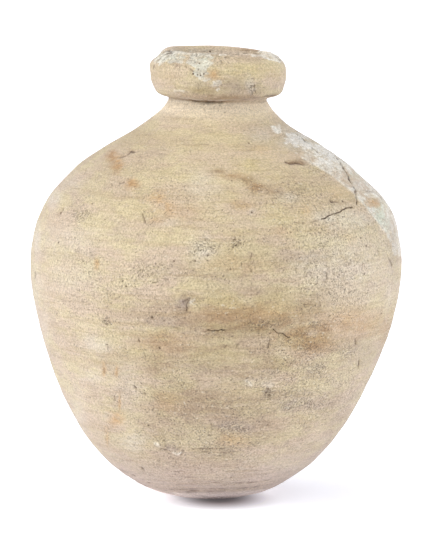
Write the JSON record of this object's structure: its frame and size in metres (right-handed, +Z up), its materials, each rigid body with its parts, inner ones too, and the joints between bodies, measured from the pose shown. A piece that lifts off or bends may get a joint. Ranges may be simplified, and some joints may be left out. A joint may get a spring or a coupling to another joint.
{
  "type": "ceramic milk jar",
  "caption": "Hollow earthenware jar with a wide belly, a short neck, a thick rolled rim and a small flat base.",
  "frame": {"origin": "centre of the flat underside, on the surface that the jar stands on", "axes": "+Z up through the mouth, -Y towards the front that the picture shows, +X to the jar's right as seen from the front"},
  "size_m": [0.3322, 0.3326, 0.4015],
  "materials": {
    "earthenware": "matt buff fired clay with pale restored fill, stains and pits"
  },
  "bodies": {
    "root": {"jar": "earthenware"}
  },
  "joints": []
}
